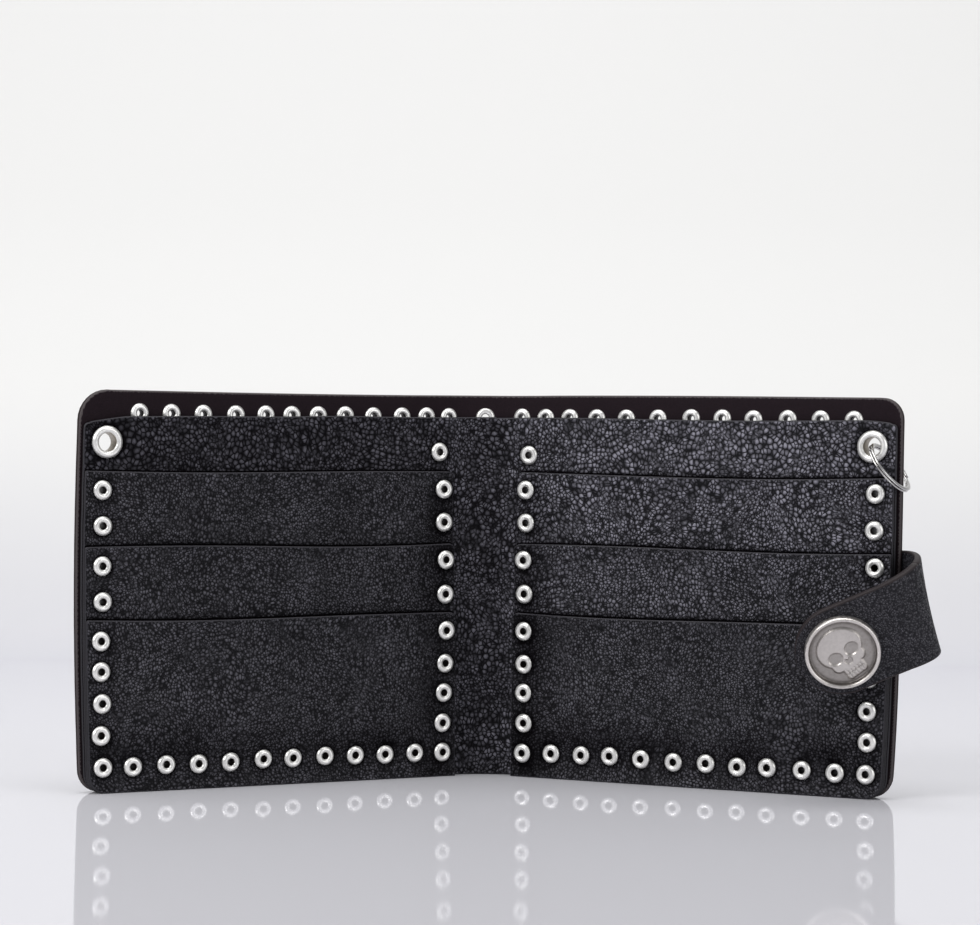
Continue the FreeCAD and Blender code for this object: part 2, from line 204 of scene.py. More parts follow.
def make_floor():
    """Floor and backdrop in one sheet, polished like a sheet of acrylic."""
    half_width, near, far, rise, radius = 3.0, -3.0, 1.2, 2.5, 0.8
    profile = [(near, 0.0), (-0.6, 0.0), (far - radius, 0.0)]
    for step in range(1, 25):
        angle = math.pi / 2 * step / 24
        profile.append((far - radius + radius * math.sin(angle), radius - radius * math.cos(angle)))
    profile.append((far, rise))
    verts = [(x, y, z) for y, z in profile for x in (-half_width, half_width)]
    faces = [(2 * n, 2 * n + 1, 2 * n + 3, 2 * n + 2) for n in range(len(profile) - 1)]
    graph = Graph("floor_acrylic")
    graph.nodes.remove(graph.shader)
    height = graph.add("SeparateXYZ", {0: graph.add("NewGeometry", {}).outputs["Position"]}).outputs["Z"]
    raised = graph.ranged(height, -0.05, 0.12, 0.0, 1.0, smooth=True)
    matt = graph.add("BsdfDiffuse", {"Color": graph.mix(raised, FLOOR_TINT, WALL_TINT)})
    gloss = graph.add("BsdfAnisotropic", {"Color": GLOSS_TINT, "Roughness": 0.045})
    share = graph.product(graph.add("Fresnel", {"IOR": 1.45}).outputs[0], 0.66)
    surface = graph.add("MixShader", {0: share, 1: matt.outputs[0], 2: gloss.outputs[0]})
    graph.put(graph.nodes["Material Output"].inputs["Surface"], surface.outputs[0])
    floor = link("floor", verts, faces, [graph.material])


# ---- Materials

class Graph:
    """The node tree of one material."""

    def __init__(self, name):
        self.material = bpy.data.materials.new(name)
        self.material.use_nodes = True
        self.nodes = self.material.node_tree.nodes
        self.shader = self.nodes["Principled BSDF"]

    def put(self, socket, value):
        """Give a socket a value, or link it to another node's output."""
        if isinstance(value, bpy.types.NodeSocket):
            self.material.node_tree.links.new(value, socket)
        else:
            socket.default_value = value

    def add(self, kind, inputs, **settings):
        node = self.nodes.new("ShaderNode" + kind)
        for name, setting in settings.items():
            setattr(node, name, setting)
        for key, value in inputs.items():
            self.put(node.inputs[key], value)
        return node

    def math(self, operation, first, second, clamp=False):
        return self.add("Math", {0: first, 1: second}, operation=operation, use_clamp=clamp).outputs[0]

    def product(self, first, second):
        return self.math("MULTIPLY", first, second)

    def ranged(self, value, low, high, to_low, to_high, smooth=False):
        inputs = {"Value": value, "From Min": low, "From Max": high, "To Min": to_low, "To Max": to_high}
        kind = "SMOOTHSTEP" if smooth else "LINEAR"
        return self.add("MapRange", inputs, interpolation_type=kind).outputs["Result"]

    def mix(self, factor, first, second):
        node = self.add("Mix", {"Factor": factor}, data_type="RGBA")
        for name, value in (("A", first), ("B", second)):
            self.put([s for s in node.inputs if s.name == name and s.type == "RGBA"][0], value)
        return [s for s in node.outputs if s.type == "RGBA"][0]

    def red(self, colour):
        return self.add("SeparateColor", {0: colour}).outputs[0]

    def attribute(self, name, output):
        return self.add("Attribute", {}, attribute_name=name).outputs[output]

    def noise(self, vector, scale, detail, output="Fac"):
        return self.add("TexNoise", {"Vector": vector, "Scale": scale, "Detail": detail}).outputs[output]

    def cells(self, vector, scale, feature):
        inputs = {"Vector": vector, "Scale": scale, "Randomness": 0.95}
        return self.add("TexVoronoi", inputs, feature=feature).outputs

    def bump(self, height, depth):
        node = self.add("Bump", {"Height": height, "Distance": depth})
        self.put(self.shader.inputs["Normal"], node.outputs["Normal"])

    def finished(self, **inputs):
        """Set the shader's sockets, named with _ for a space, and return the material."""
        for name, value in inputs.items():
            self.put(self.shader.inputs[name.replace("_", " ")], value)
        return self.material


def grain_coordinates(graph, warp):
    """Flat position in millimetres, plain and drawn out unevenly as a hide is."""
    plain = graph.add("VectorMath", {}, operation="SCALE")
    graph.put(plain.inputs["Scale"], 1 / MM)
    graph.put(plain.inputs[0], graph.attribute("flat", "Vector"))
    plain = drawn = plain.outputs["Vector"]
    for scale, reach in ((0.055, 4.5 * warp), (0.35, 0.55 * warp)):
        pushes = {0: graph.noise(plain, scale, 1, "Color"), 1: (reach, reach, 0), 2: drawn}
        drawn = graph.add("VectorMath", pushes, operation="MULTIPLY_ADD").outputs["Vector"]
    return plain, drawn


def pebbles(graph, vector, scale):
    """Rounded cells of uneven height with low seams between them, which the colour paints dark as shade."""
    cells = graph.cells(vector, scale, "F1")
    seams = graph.cells(vector, scale, "DISTANCE_TO_EDGE")
    dome = graph.ranged(cells["Distance"], 0.12, 0.8, 1.0, 0.2, smooth=True)
    seam = graph.ranged(seams["Distance"], 0.0, 0.14, 0.15, 1.0, smooth=True)
    level = graph.ranged(graph.red(cells["Color"]), 0.0, 1.0, 0.55, 1.1)
    return graph.product(graph.product(dome, seam), level)


LEATHER_TINT = (0.98, 0.95, 1.13)
# Near-black that painted shade darkens the leather's colour towards.
PAINTED_SHADE_BLACK = (0.002, 0.0015, 0.002, 1)


def shaded(colour, factor):
    return (*(factor * part for part in colour[:3]), 1)


def leather_material(name, pebble, depth, tones, bold, warp=1.0):
    """Pebbled black leather.

    pebble is the cell size and depth the relief in mm, tones are those of the valleys
    and the pebble tops, and bold is the share of the hide whose pebbles stand out. The
    valleys' dark tone is painted shade and the tops' light tone painted highlight.
    """
    graph = Graph(name)
    plain, drawn = grain_coordinates(graph, warp)
    big = pebbles(graph, drawn, 1 / pebble)
    small = pebbles(graph, drawn, 1.3 / pebble)
    broad = graph.noise(plain, 0.09, 3)
    presence = graph.ranged(broad, 0.66 - 0.32 * bold, 0.76 - 0.26 * bold, 0.0, 1.0, smooth=True)
    grain = graph.red(graph.mix(presence, small, big))
    fine = graph.noise(plain, 2.6, 2)
    relief = graph.math("ADD", grain, graph.product(fine, 0.3))
    graph.bump(relief, depth * MM)
    # Painted shade: the stored shade attribute mixes the colour towards black and cuts the specular, round
    # flanges, between rows, under the layer above and over the lining.
    lit = graph.math("SUBTRACT", 1.0, graph.attribute("hollow", "Fac"), clamp=True)
    rubbed = graph.ranged(graph.noise(plain, 0.13, 2), 0.3, 0.7, 0.6, 1.15)
    worn = graph.ranged(fine, 0.3, 0.7, 0.75, 1.15)
    # Painted highlight and shade: the grain's relief also sets the colour, lightening the pebble tops and
    # darkening the seams.
    peaked = graph.product(graph.math("POWER", grain, 1.7), 1.35)
    low, high = (shaded(LEATHER_TINT, tone) for tone in tones)
    colour = graph.mix(graph.product(peaked, graph.product(rubbed, worn)), low, high)
    return graph.finished(
        Base_Color=graph.mix(lit, PAINTED_SHADE_BLACK, colour),
        Roughness=graph.ranged(relief, 0.1, 1.1, 0.68, 0.45),
        Specular_IOR_Level=graph.product(graph.ranged(grain, 0.0, 0.9, 0.05, 0.4), lit))


def suede_material(name, colour, roughness, specular=0.15):
    """Smooth matt leather: fine fibre noise and slight mottling."""
    graph = Graph(name)
    plain, _ = grain_coordinates(graph, 1.0)
    fibres = graph.noise(plain, 6.0, 5)
    graph.bump(fibres, 0.05 * MM)
    return graph.finished(
        Base_Color=graph.mix(graph.ranged(fibres, 0.35, 0.7, 0.0, 1.0), colour, shaded(colour, 1.9)),
        Roughness=roughness, Specular_IOR_Level=specular)


def handling_marks(graph, scale, detail):
    return graph.noise(graph.add("TexCoord", {}).outputs["Object"], scale, detail)


def metal_material(name, colour, roughness, brushed, metallic=1.0):
    """Plated metal with faint handling marks."""
    graph = Graph(name)
    marks = handling_marks(graph, 900, 4)
    return graph.finished(
        Base_Color=graph.mix(graph.ranged(marks, 0.3, 0.7, 0.0, 1.0), shaded(colour, 0.86), colour),
        Roughness=graph.ranged(marks, 0.35, 0.7, roughness, roughness + brushed), Metallic=metallic)


def pewter_material(name):
    """Antiqued metal: bright on the raised parts, dark in the recesses."""
    graph = Graph(name)
    marks = handling_marks(graph, 1400, 5)
    graph.bump(marks, 0.02 * MM)
    scuffs = graph.product(graph.math("SUBTRACT", marks, 0.5), 0.35)
    bared = graph.math("ADD", graph.attribute("relief", "Fac"), scuffs)
    return graph.finished(
        Base_Color=graph.mix(bared, (0.13, 0.115, 0.105, 1), (0.74, 0.70, 0.67, 1)),
        Roughness=graph.ranged(marks, 0.3, 0.75, 0.28, 0.5), Metallic=0.95)


# ---- Small numeric helpers

class Ripple:
    """Smooth random surface: seeded lattice values, blended between lattice points."""

    def __init__(self, seed, pitch):
        self.values = np.random.RandomState(seed).uniform(-1, 1, (64, 64))
        self.pitch = pitch

    def __call__(self, x, y):
        x = np.asarray(x) / self.pitch + 32
        y = np.asarray(y) / self.pitch + 32
        column, row = np.floor(x).astype(int), np.floor(y).astype(int)
        fx, fy = x - column, y - row
        fx, fy = fx * fx * (3 - 2 * fx), fy * fy * (3 - 2 * fy)
        pick = lambda i, j: self.values[(row + j) % 64, (column + i) % 64]
        low = pick(0, 0) * (1 - fx) + pick(1, 0) * fx
        high = pick(0, 1) * (1 - fx) + pick(1, 1) * fx
        return low * (1 - fy) + high * fy


def distance_to_loop(points, loop, skip_seam=False):
    """Distance of each point to a closed polygon, with or without the spine's seam."""
    along = np.roll(loop, -1, axis=0) - loop
    best = np.full(len(points), 1e9)
    for a, d in zip(loop, along):
        if skip_seam and abs(a[0] - SEAM_S) < 0.01 * MM and abs(d[0]) < 0.01 * MM:
            continue
        offset = points - a
        t = np.clip(offset @ d / max(d @ d, 1e-18), 0, 1)
        best = np.minimum(best, np.hypot(*(offset - t[:, None] * d).T))
    return best


def inside_loop(points, loop):
    inside = np.zeros(len(points), bool)
    for a, b in zip(loop, np.roll(loop, -1, axis=0)):
        crosses = (a[1] > points[:, 1]) != (b[1] > points[:, 1])
        if not crosses.any():
            continue
        x = a[0] + (points[:, 1] - a[1]) / (b[1] - a[1] + 1e-18) * (b[0] - a[0])
        inside ^= crosses & (points[:, 0] < x)
    return inside


def inset(loop, distance):
    """A counter-clockwise loop moved inwards."""
    before = loop - np.roll(loop, 1, axis=0)
    after = np.roll(loop, -1, axis=0) - loop
    before /= np.linalg.norm(before, axis=1)[:, None]
    after /= np.linalg.norm(after, axis=1)[:, None]
    normal = np.stack([-(before + after)[:, 1], (before + after)[:, 0]], 1)
    normal /= np.linalg.norm(normal, axis=1)[:, None]
    cosine = np.abs(normal[:, 0] * -before[:, 1] + normal[:, 1] * before[:, 0])
    return loop + normal * (distance / np.maximum(cosine, 0.4))[:, None]


def link(name, verts, faces, materials, index=0):
    """A smooth mesh object; index gives each face its place in materials."""
    mesh = bpy.data.meshes.new(name)
    mesh.from_pydata([tuple(v) for v in verts], [], faces)
    mesh.polygons.foreach_set("use_smooth", [True] * len(faces))
    for material in materials:
        mesh.materials.append(material)
    mesh.polygons.foreach_set("material_index", np.full(len(faces), index, np.int32))
    piece = bpy.data.objects.new(name, mesh)
    bpy.context.scene.collection.objects.link(piece)
    return piece


def add_attribute(piece, name, kind, field, values, domain="POINT"):
    piece.data.attributes.new(name, kind, domain).data.foreach_set(field, np.ravel(values))


def tube_faces(rings, size, first=0, flip=False):
    """Quads between closed rings of points, each ring size points long."""
    faces = []
    for n in range(rings - 1):
        for k in range(size):
            a, b, j = first + n * size, first + (n + 1) * size, (k + 1) % size
            faces.append((a + k, b + k, b + j, a + j) if flip else (a + k, a + j, b + j, b + k))
    return faces


# ---- Leather panels

def arc_points(centre, radius, start, end, count):
    angles = [math.radians(start + (end - start) * n / count) for n in range(count + 1)]
    return [(centre[0] + radius * math.cos(a), centre[1] + radius * math.sin(a)) for a in angles]


def outline(low_s, high_s, top, radii, bow):
    """Counter-clockwise outline of a panel standing on height 0.

    top(s) gives the upper edge, bow(height) pushes the outer end outwards, fading to nothing
    at the middle, and radii are the corners at bottom low, bottom high, top high and top low.
    """
    step = 0.8 * MM
    bl, br, tr, tl = radii
    top_high, top_low = top(high_s), top(low_s)
    corners = [
        (low_s + bl, bl, bl, 180), (high_s - br, br, br, 270),
        (high_s - tr, top_high - tr, tr, 0), (low_s + tl, top_low - tl, tl, 90)]
    arcs = [
        arc_points((x, y), radius, start, start + 90, 8) if radius > 0 else [(x, y)]
        for x, y, radius, start in corners]
    loop = []
    for number, arc in enumerate(arcs):
        loop += arc
        a, b = arc[-1], arcs[(number + 1) % 4][0]
        count = max(1, int(math.hypot(b[0] - a[0], b[1] - a[1]) / step))
        for n in range(1, count):
            share = n / count
            s, height = a[0] + (b[0] - a[0]) * share, a[1] + (b[1] - a[1]) * share
            if number == 2:
                height = top(s)
            loop.append((s, height))
    loop = np.array(loop)
    middle = (low_s + high_s) / 2
    outer = max(low_s, high_s, key=abs)
    push = np.array([bow(height) for height in loop[:, 1]])
    loop[:, 0] += math.copysign(1, outer) * push * np.clip((loop[:, 0] - middle) / (outer - middle), 0, 1)
    return loop


def hole_loop(centre, radius, count=18):
    angles = np.arange(count) * 2 * math.pi / count
    return np.array(centre) + radius * np.stack([np.cos(angles), np.sin(angles)], 1)


def clear_of(points, holes, gap, share=1.0):
    """Which points are further from every hole's centre than share of its radius plus gap."""
    clear = np.ones(len(points), bool)
    for s, height, radius in holes:
        clear &= np.hypot(points[:, 0] - s, points[:, 1] - height) > radius * share + gap
    return clear


def cut_sheet(loop, holes, spacing, shadow_line):
    """Triangles of a flat sheet with round holes: points, triangles, boundary loops.

    The sheet is cut finer along shadow_line, the edge of the layer on top of it.
    """
    points = [loop]
    loops = [np.arange(len(loop))]
    total = len(loop)
    for s, height, radius in holes:
        ring = hole_loop((s, height), radius)
        points.append(ring)
        loops.append(np.arange(total, total + len(ring)))
        total += len(ring)
    rims = [inset(loop, distance) for distance in (0.12 * MM, 0.3 * MM, 0.6 * MM)]
    rims += [
        hole_loop((s, height), radius + extra, 20)
        for s, height, radius in holes for extra in (1.0 * MM, 1.7 * MM, 2.5 * MM)]
    if shadow_line is not None:
        outwards = (-0.05 * MM, 0.25 * MM, 0.55 * MM, 0.95 * MM, 1.5 * MM)
        rims += [inset(shadow_line, -distance) for distance in outwards]
    rims = np.concatenate(rims)
    low, high = loop.min(0), loop.max(0)
    columns = np.arange(low[0] + spacing / 2, high[0], spacing)
    rows = np.arange(low[1] + spacing / 2, high[1], spacing)
    grid = np.stack(np.meshgrid(columns, rows), -1).reshape(-1, 2)
    odd = np.round((grid[:, 1] - low[1]) / spacing - 0.5) % 2
    grid[:, 0] += np.where(odd == 0, spacing / 4, -spacing / 4)
    keep = inside_loop(grid, loop) & (distance_to_loop(grid, loop) > 0.6 * MM + spacing * 0.5)
    keep &= clear_of(grid, holes, 2.5 * MM + spacing * 0.45)
    if shadow_line is not None:
        keep &= (distance_to_loop(grid, shadow_line) > 1.5 * MM) | inside_loop(grid, shadow_line)
    rim_keep = inside_loop(rims, loop) & (distance_to_loop(rims, loop) > 0.1 * MM)
    rim_keep &= clear_of(rims, holes, 0.5 * MM)
    everything = np.concatenate(points + [rims[rim_keep], grid[keep]])
    edges = [(int(i), int(j)) for ring in loops for i, j in zip(ring, np.roll(ring, -1))]
    scale = 1 / MM
    result = geometry.delaunay_2d_cdt([Vector(p * scale) for p in everything], edges, [], 0, 1e-6)
    flat = np.array([tuple(v) for v in result[0]]) / scale
    source = {origin: new for new, origins in enumerate(result[3]) for origin in origins}
    triangles = np.array([face for face in result[2] if len(face) == 3])
    centres = flat[triangles].mean(1)
    triangles = triangles[inside_loop(centres, loop) & clear_of(centres, holes, 0.0, share=0.98)]
    loops = [[source[int(i)] for i in ring] for ring in loops]
    return flat, triangles, loops


def leather_panel(name, loop, holes, front, back, materials, edge_round, dark_spots,
                  above=None, shift=0.0, wide_shade=0.0, more_painted_shade=None):
    """A closed leather panel, bent at the crease.

    front and back give depths from (s, height) arrays. materials are for the front, the
    back, the cut edge and the border of the front. above is the outline of the next
    layer on top; its shadow is painted on this panel, as is shade round dark_spots.
    A seam on the spine is cut square.
    """
    flat, triangles, loops = cut_sheet(loop, holes, PANEL_GRID, above)
    s, height = flat[:, 0], flat[:, 1]
    edge = distance_to_loop(flat, loop, skip_seam=True)
    near = np.clip(1 - edge / edge_round, 0, 1)
    drop = edge_round * (1 - np.sqrt(np.clip(1 - near ** 2, 0, 1)))
    front_depth = front(s, height) - drop
    back_depth = back(s, height) + drop
    count = len(flat)
    a, b, c = flat[triangles[:, 0]], flat[triangles[:, 1]], flat[triangles[:, 2]]
    area = (b[:, 0] - a[:, 0]) * (c[:, 1] - a[:, 1]) - (c[:, 0] - a[:, 0]) * (b[:, 1] - a[:, 1])
    triangles = np.where((area > 0)[:, None], triangles, triangles[:, ::-1])
    faces = [tuple(int(i) for i in t) for t in triangles]
    faces += [tuple(int(i) + count for i in t[::-1]) for t in triangles]
    for number, ring in enumerate(loops):
        for i, j in zip(ring, ring[1:] + ring[:1]):
            faces.append((j, i, i + count, j + count) if number == 0 else (i, j, j + count, i + count))
    index = np.full(len(faces), 2)
    index[:len(triangles)] = np.where(edge[triangles].mean(1) < 0.9 * edge_round, 3, 0)
    index[len(triangles):2 * len(triangles)] = 1
    depths = (front_depth, back_depth)
    piece = link(name, np.concatenate([place(s, depth, height) for depth in depths]), faces, materials, index)
    on_seam = np.tile(np.abs(s - SEAM_S) < 0.01 * MM, 2)
    ends = np.zeros(2 * len(piece.data.edges), np.int32)
    piece.data.edges.foreach_get("vertices", ends)
    sharp = on_seam[ends].reshape(-1, 2).all(1)
    add_attribute(piece, "sharp_edge", "BOOLEAN", "value", sharp, "EDGE")
    both = [np.stack([s + shift, height + 0.7 * shift, depth], 1) for depth in depths]
    add_attribute(piece, "flat", "FLOAT_VECTOR", "vector", np.concatenate(both))
    # Painted shade round the flanges and between the rows, stored on the mesh for the leather's colour.
    dark = hollows(s, height, dark_spots, wide_shade)
    # Extra painted shade, such as the lining's, is laid over it.
    if more_painted_shade is not None:
        dark = 1 - (1 - dark) * (1 - more_painted_shade(s, height))
    # Painted shadow under the edge of the layer above: dark right at its edge, fainter further off.
    if above is not None:
        gap = np.where(inside_loop(flat, above), 0, distance_to_loop(flat, above))
        contact, shadow = np.exp(-(gap / (0.55 * MM)) ** 2), np.exp(-(gap / (2.2 * MM)) ** 2)
        dark = np.maximum(dark, 0.97 * contact + 0.25 * shadow)
    add_attribute(piece, "hollow", "FLOAT", "value", np.tile(np.clip(dark, 0, 1), 2).astype(np.float32))
    return piece


# ---- How the leather rises and sinks

PANEL_GRID = 1.15 * MM
ROW_RISE = 0.42 * MM
PINCH = 2.7 * MM
FLANGE_R = 2.45 * MM
CHAIN_FLANGE_R = 4.05 * MM
LINER_SWELL = 0.35 * MM
POCKET_SWELLS = (0.7 * MM, 1.15 * MM, 1.7 * MM)
swell_noise = Ripple(3, 17 * MM)
fine_noise = Ripple(8, 6 * MM)
cover_noise = Ripple(12, 26 * MM)
shade_noise = Ripple(31, 11 * MM)


def soft_step(value, length):
    value = np.maximum(value, 0)
    return 1 - np.exp(-(value / length) ** 2)


def pinched(s, height, spots):
    """0 at an eyelet's flange, 1 well away from every eyelet."""
    reach = np.abs(s) - CREASE_X
    free = np.ones_like(reach)
    for x, z, radius in spots:
        free *= soft_step(np.hypot(reach - x, height - z) - radius + 0.25 * MM, PINCH)
    return free


def hollows(s, height, spots, wide_shade):
    """How much less light reaches the leather: tight round a flange, wide between rows."""
    reach = np.abs(s) - CREASE_X
    dark = np.zeros_like(reach)
    for x, z, radius in spots:
        gap = np.maximum(np.hypot(reach - x, height - z) - radius, 0)
        tight, wide = np.exp(-(gap / (0.55 * MM)) ** 2), np.exp(-(gap / (3.2 * MM)) ** 2)
        dark = np.maximum(dark, tight + 0.22 * wide)
    inner = np.exp(-((reach - INNER_COLUMN - 3 * MM) / (6.5 * MM)) ** 2) * (height < 76 * MM)
    low = np.exp(-((height - BOTTOM_ROW - 4.5 * MM) / (5 * MM)) ** 2)
    wide = np.maximum(inner, 0.8 * low) * (reach > 0)
    return np.clip(dark + wide_shade * wide * (0.75 + 0.5 * shade_noise(s, height)), 0, 0.95)


def lining_painted_shade(s, height):
    """Painted shade on the lining, from the darker left end over the darkened spine to the unshaded right
    half.
    """
    places = [-60, -25, -13, -9, -5, 0, 5, 9, 14, 30, 110]
    shades = [0.66, 0.60, 0.45, 0.34, 0.52, 0.62, 0.50, 0.26, 0.10, 0.05, 0.0]
    return np.interp(s + 2.5 * MM * shade_noise(s, height), np.array(places) * MM, shades)


def swell(s, height, amount):
    """Bulge of a panel between its sewn and riveted edges."""
    reach = np.abs(s) - CREASE_X
    across = soft_step(reach - INNER_COLUMN, 8 * MM) * soft_step(OUTER_COLUMN - reach, 8 * MM)
    up = soft_step(height - BOTTOM_ROW, 8 * MM)
    return amount * across * up * (1 + 0.35 * swell_noise(s, height))


def spots_of(name, below=None):
    """Eyelets through a half's lining, as (reach, height, flange radius)."""
    chosen = [(x, z, FLANGE_R) for x, z, _ in STACK_EYELETS[name] if below is None or z < below]
    x, z, _ = CHAIN_EYELETS[name]
    return chosen + [(x, z, CHAIN_FLANGE_R)]


def stack_rise(s, height, name):
    free = pinched(s, height, spots_of(name))
    return free * (ROW_RISE + 0.09 * MM * fine_noise(s, height))


def liner_front(name):
    def depth(s, height):
        fade = soft_step(np.abs(s) - CREASE_X, 6 * MM)
        return LINER_FACE + stack_rise(s, height, name) * fade + swell(s, height, LINER_SWELL)

    return depth


def mouth_lift(s, height, level):
    """The mouth of a pocket stands a little off the layer behind it."""
    reach = np.abs(s) - CREASE_X
    across = soft_step(reach - INNER_COLUMN - 3 * MM, 14 * MM)
    across *= soft_step(OUTER_COLUMN - 3 * MM - reach, 14 * MM)
    below = np.clip((POCKET_TOPS[level] - height) / (7 * MM), 0, 1)
    return 0.55 * MM * across * (1 - below) ** 2


def pocket_front(name, level):
    def depth(s, height):
        return POCKET_FACES[level] + stack_rise(s, height, name) + swell(s, height, POCKET_SWELLS[level]) \
            + mouth_lift(s, height, level)

    return depth


def thinner(front, thickness):
    return lambda s, height: front(s, height) - thickness


def cover_front(s, _):
    return np.full_like(s, COVER_FACE)


def cover_back(name):
    spots = spots_of(name) + [(x, z, FLANGE_R) for x, z, _ in TOP_EYELETS[name]]

    def depth(s, height):
        return BACK - pinched(s, height, spots) * (0.22 * MM + 0.05 * MM * cover_noise(s, height))

    return depth


# ---- Panels of the wallet

STACK_HOLE = 1.45 * MM
CHAIN_HOLE = 2.8 * MM


def holes_on(side, spots, radius, below=None):
    return [(side * (CREASE_X + x), z, radius) for x, z, _ in spots if below is None or z < below]


def panel_holes(name, side, spots):
    return holes_on(side, spots, STACK_HOLE) + holes_on(side, [CHAIN_EYELETS[name]], CHAIN_HOLE)


def left_bow(height):
    return -0.6 * MM + 1.1 * MM * math.sin(math.pi * min(max(height / COVER_HEIGHT, 0), 1))


def right_bow(height):
    return -1.3 * MM + 1.75 * MM * (1 - math.exp(-height / (24 * MM)))


BOWS = {"left": left_bow, "right": right_bow}


def cover_top(s):
    return COVER_HEIGHT + 0.2 * MM * math.sin(s / (30 * MM)) * min(1.0, abs(s) / (20 * MM))


def liner_top(name):
    drop, start, power, sag = {
        "left": (1.7 * MM, 95 * MM, 1.2, 0.7 * MM), "right": (1.0 * MM, 97 * MM, 2.0, 0.0)}[name]

    def top(s):
        reach = abs(s) - CREASE_X
        fall = min(max(reach - start, 0) / (LINER_REACH - start), 1)
        low = min(max(reach - 30 * MM, 0) / (30 * MM), 1)
        return LINER_HEIGHT + 0.2 * MM * math.sin(s / (15 * MM)) - drop * fall ** power \
            - sag * low * low * (3 - 2 * low) + 0.3 * sag

    return top


MOUTH_WAVES = {
    ("left", 0): (0.25, 0.2), ("left", 1): (0.2, -0.35), ("left", 2): (0.3, 0.25),
    ("right", 0): (0.75, 0.15), ("right", 1): (0.15, 0.3), ("right", 2): (0.25, -0.2),
}


def mouth(name, level):
    """Upper edge of a pocket: it sags a little between its ends."""
    sag, wave = MOUTH_WAVES[(name, level)]
    low, high = POCKET_BOXES[name, level][0][0], POCKET_BOXES[name, level][1][0]

    def top(s):
        share = min(max((abs(s) - CREASE_X - low) / (high - low), 0), 1)
        lift = -sag * math.sin(math.pi * share) + wave * math.sin(2 * math.pi * share)
        return POCKET_TOPS[level] + lift * MM

    return top


def span(side, low, high):
    """Ends of a panel on one side, as increasing s."""
    ends = (side * (CREASE_X + low), side * (CREASE_X + high))
    return min(ends), max(ends)


def full_span(side, outer):
    """Ends of a panel that runs from the spine's seam to a half's outer edge."""
    return (SEAM_S, CREASE_X + outer) if side == RIGHT else (-CREASE_X - outer, SEAM_S)


def radii_for(side, outer_bottom, outer_top, inner_top=0.0):
    if side == RIGHT:
        return (0.0, outer_bottom, outer_top, inner_top)
    return (outer_bottom, 0.0, inner_top, outer_top)


def make_cover(name, side, materials):
    low, high = full_span(side, PANEL_BOXES["cover", name][1][0])
    top_corner = {"left": 7.5 * MM, "right": 5.5 * MM}[name]
    loop = outline(low, high, cover_top, radii_for(side, 5.5 * MM, top_corner), BOWS[name])
    holes = panel_holes(name, side, STACK_EYELETS[name] + TOP_EYELETS[name])
    spots = [(x, z, FLANGE_R) for x, z, _ in TOP_EYELETS[name]]
    if side == LEFT:
        holes.append((0.0, SPINE_EYELET_HEIGHT, STACK_HOLE))
        spots.append((-CREASE_X, SPINE_EYELET_HEIGHT, FLANGE_R))
    return leather_panel(
        "cover_leather_" + name, loop, holes, cover_front, cover_back(name), materials, 0.5 * MM, spots)


def pocket_outline(name, side, level):
    box = POCKET_BOXES[name, level]
    low, high = span(side, box[0][0], box[1][0])
    return outline(low, high, mouth(name, level), radii_for(side, 4.2 * MM, 0.6 * MM, 2.0 * MM), BOWS[name])


def make_liner(name, side, materials):
    low, high = full_span(side, PANEL_BOXES["liner", name][1][0])
    loop = outline(low, high, liner_top(name), radii_for(side, 4.5 * MM, 1.2 * MM), BOWS[name])
    front = liner_front(name)
    return leather_panel(
        "liner_leather_" + name, loop, panel_holes(name, side, STACK_EYELETS[name]), front,
        thinner(front, 1.15 * MM), materials, 0.4 * MM, spots_of(name),
        above=pocket_outline(name, side, 0), more_painted_shade=lining_painted_shade)


def make_pocket(name, side, level, materials):
    holes = holes_on(side, STACK_EYELETS[name], STACK_HOLE, below=POCKET_TOPS[level])
    label = "%s_%s" % (name, LEVELS[level])
    front = pocket_front(name, level)
    piece = leather_panel(
        "pocket_leather_" + label, pocket_outline(name, side, level), holes, front,
        thinner(front, 0.95 * MM), materials, 0.33 * MM, spots_of(name, below=POCKET_TOPS[level]),
        above=pocket_outline(name, side, level + 1) if level < 2 else None,
        shift=(13 + 29 * level) * MM * side, wide_shade=0.6)
    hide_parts("pocket_" + label)
    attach(piece, name + "_half")


def bend_at_crease(piece, side):
    """Bakes the piece's placement into its mesh; the two ends of the crease's bend are worked out but not
    used.
    """
    start, end = (Vector(place(side * (CREASE_X + reach), 0, 0)) for reach in (BEND, -BEND))
    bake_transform(piece)


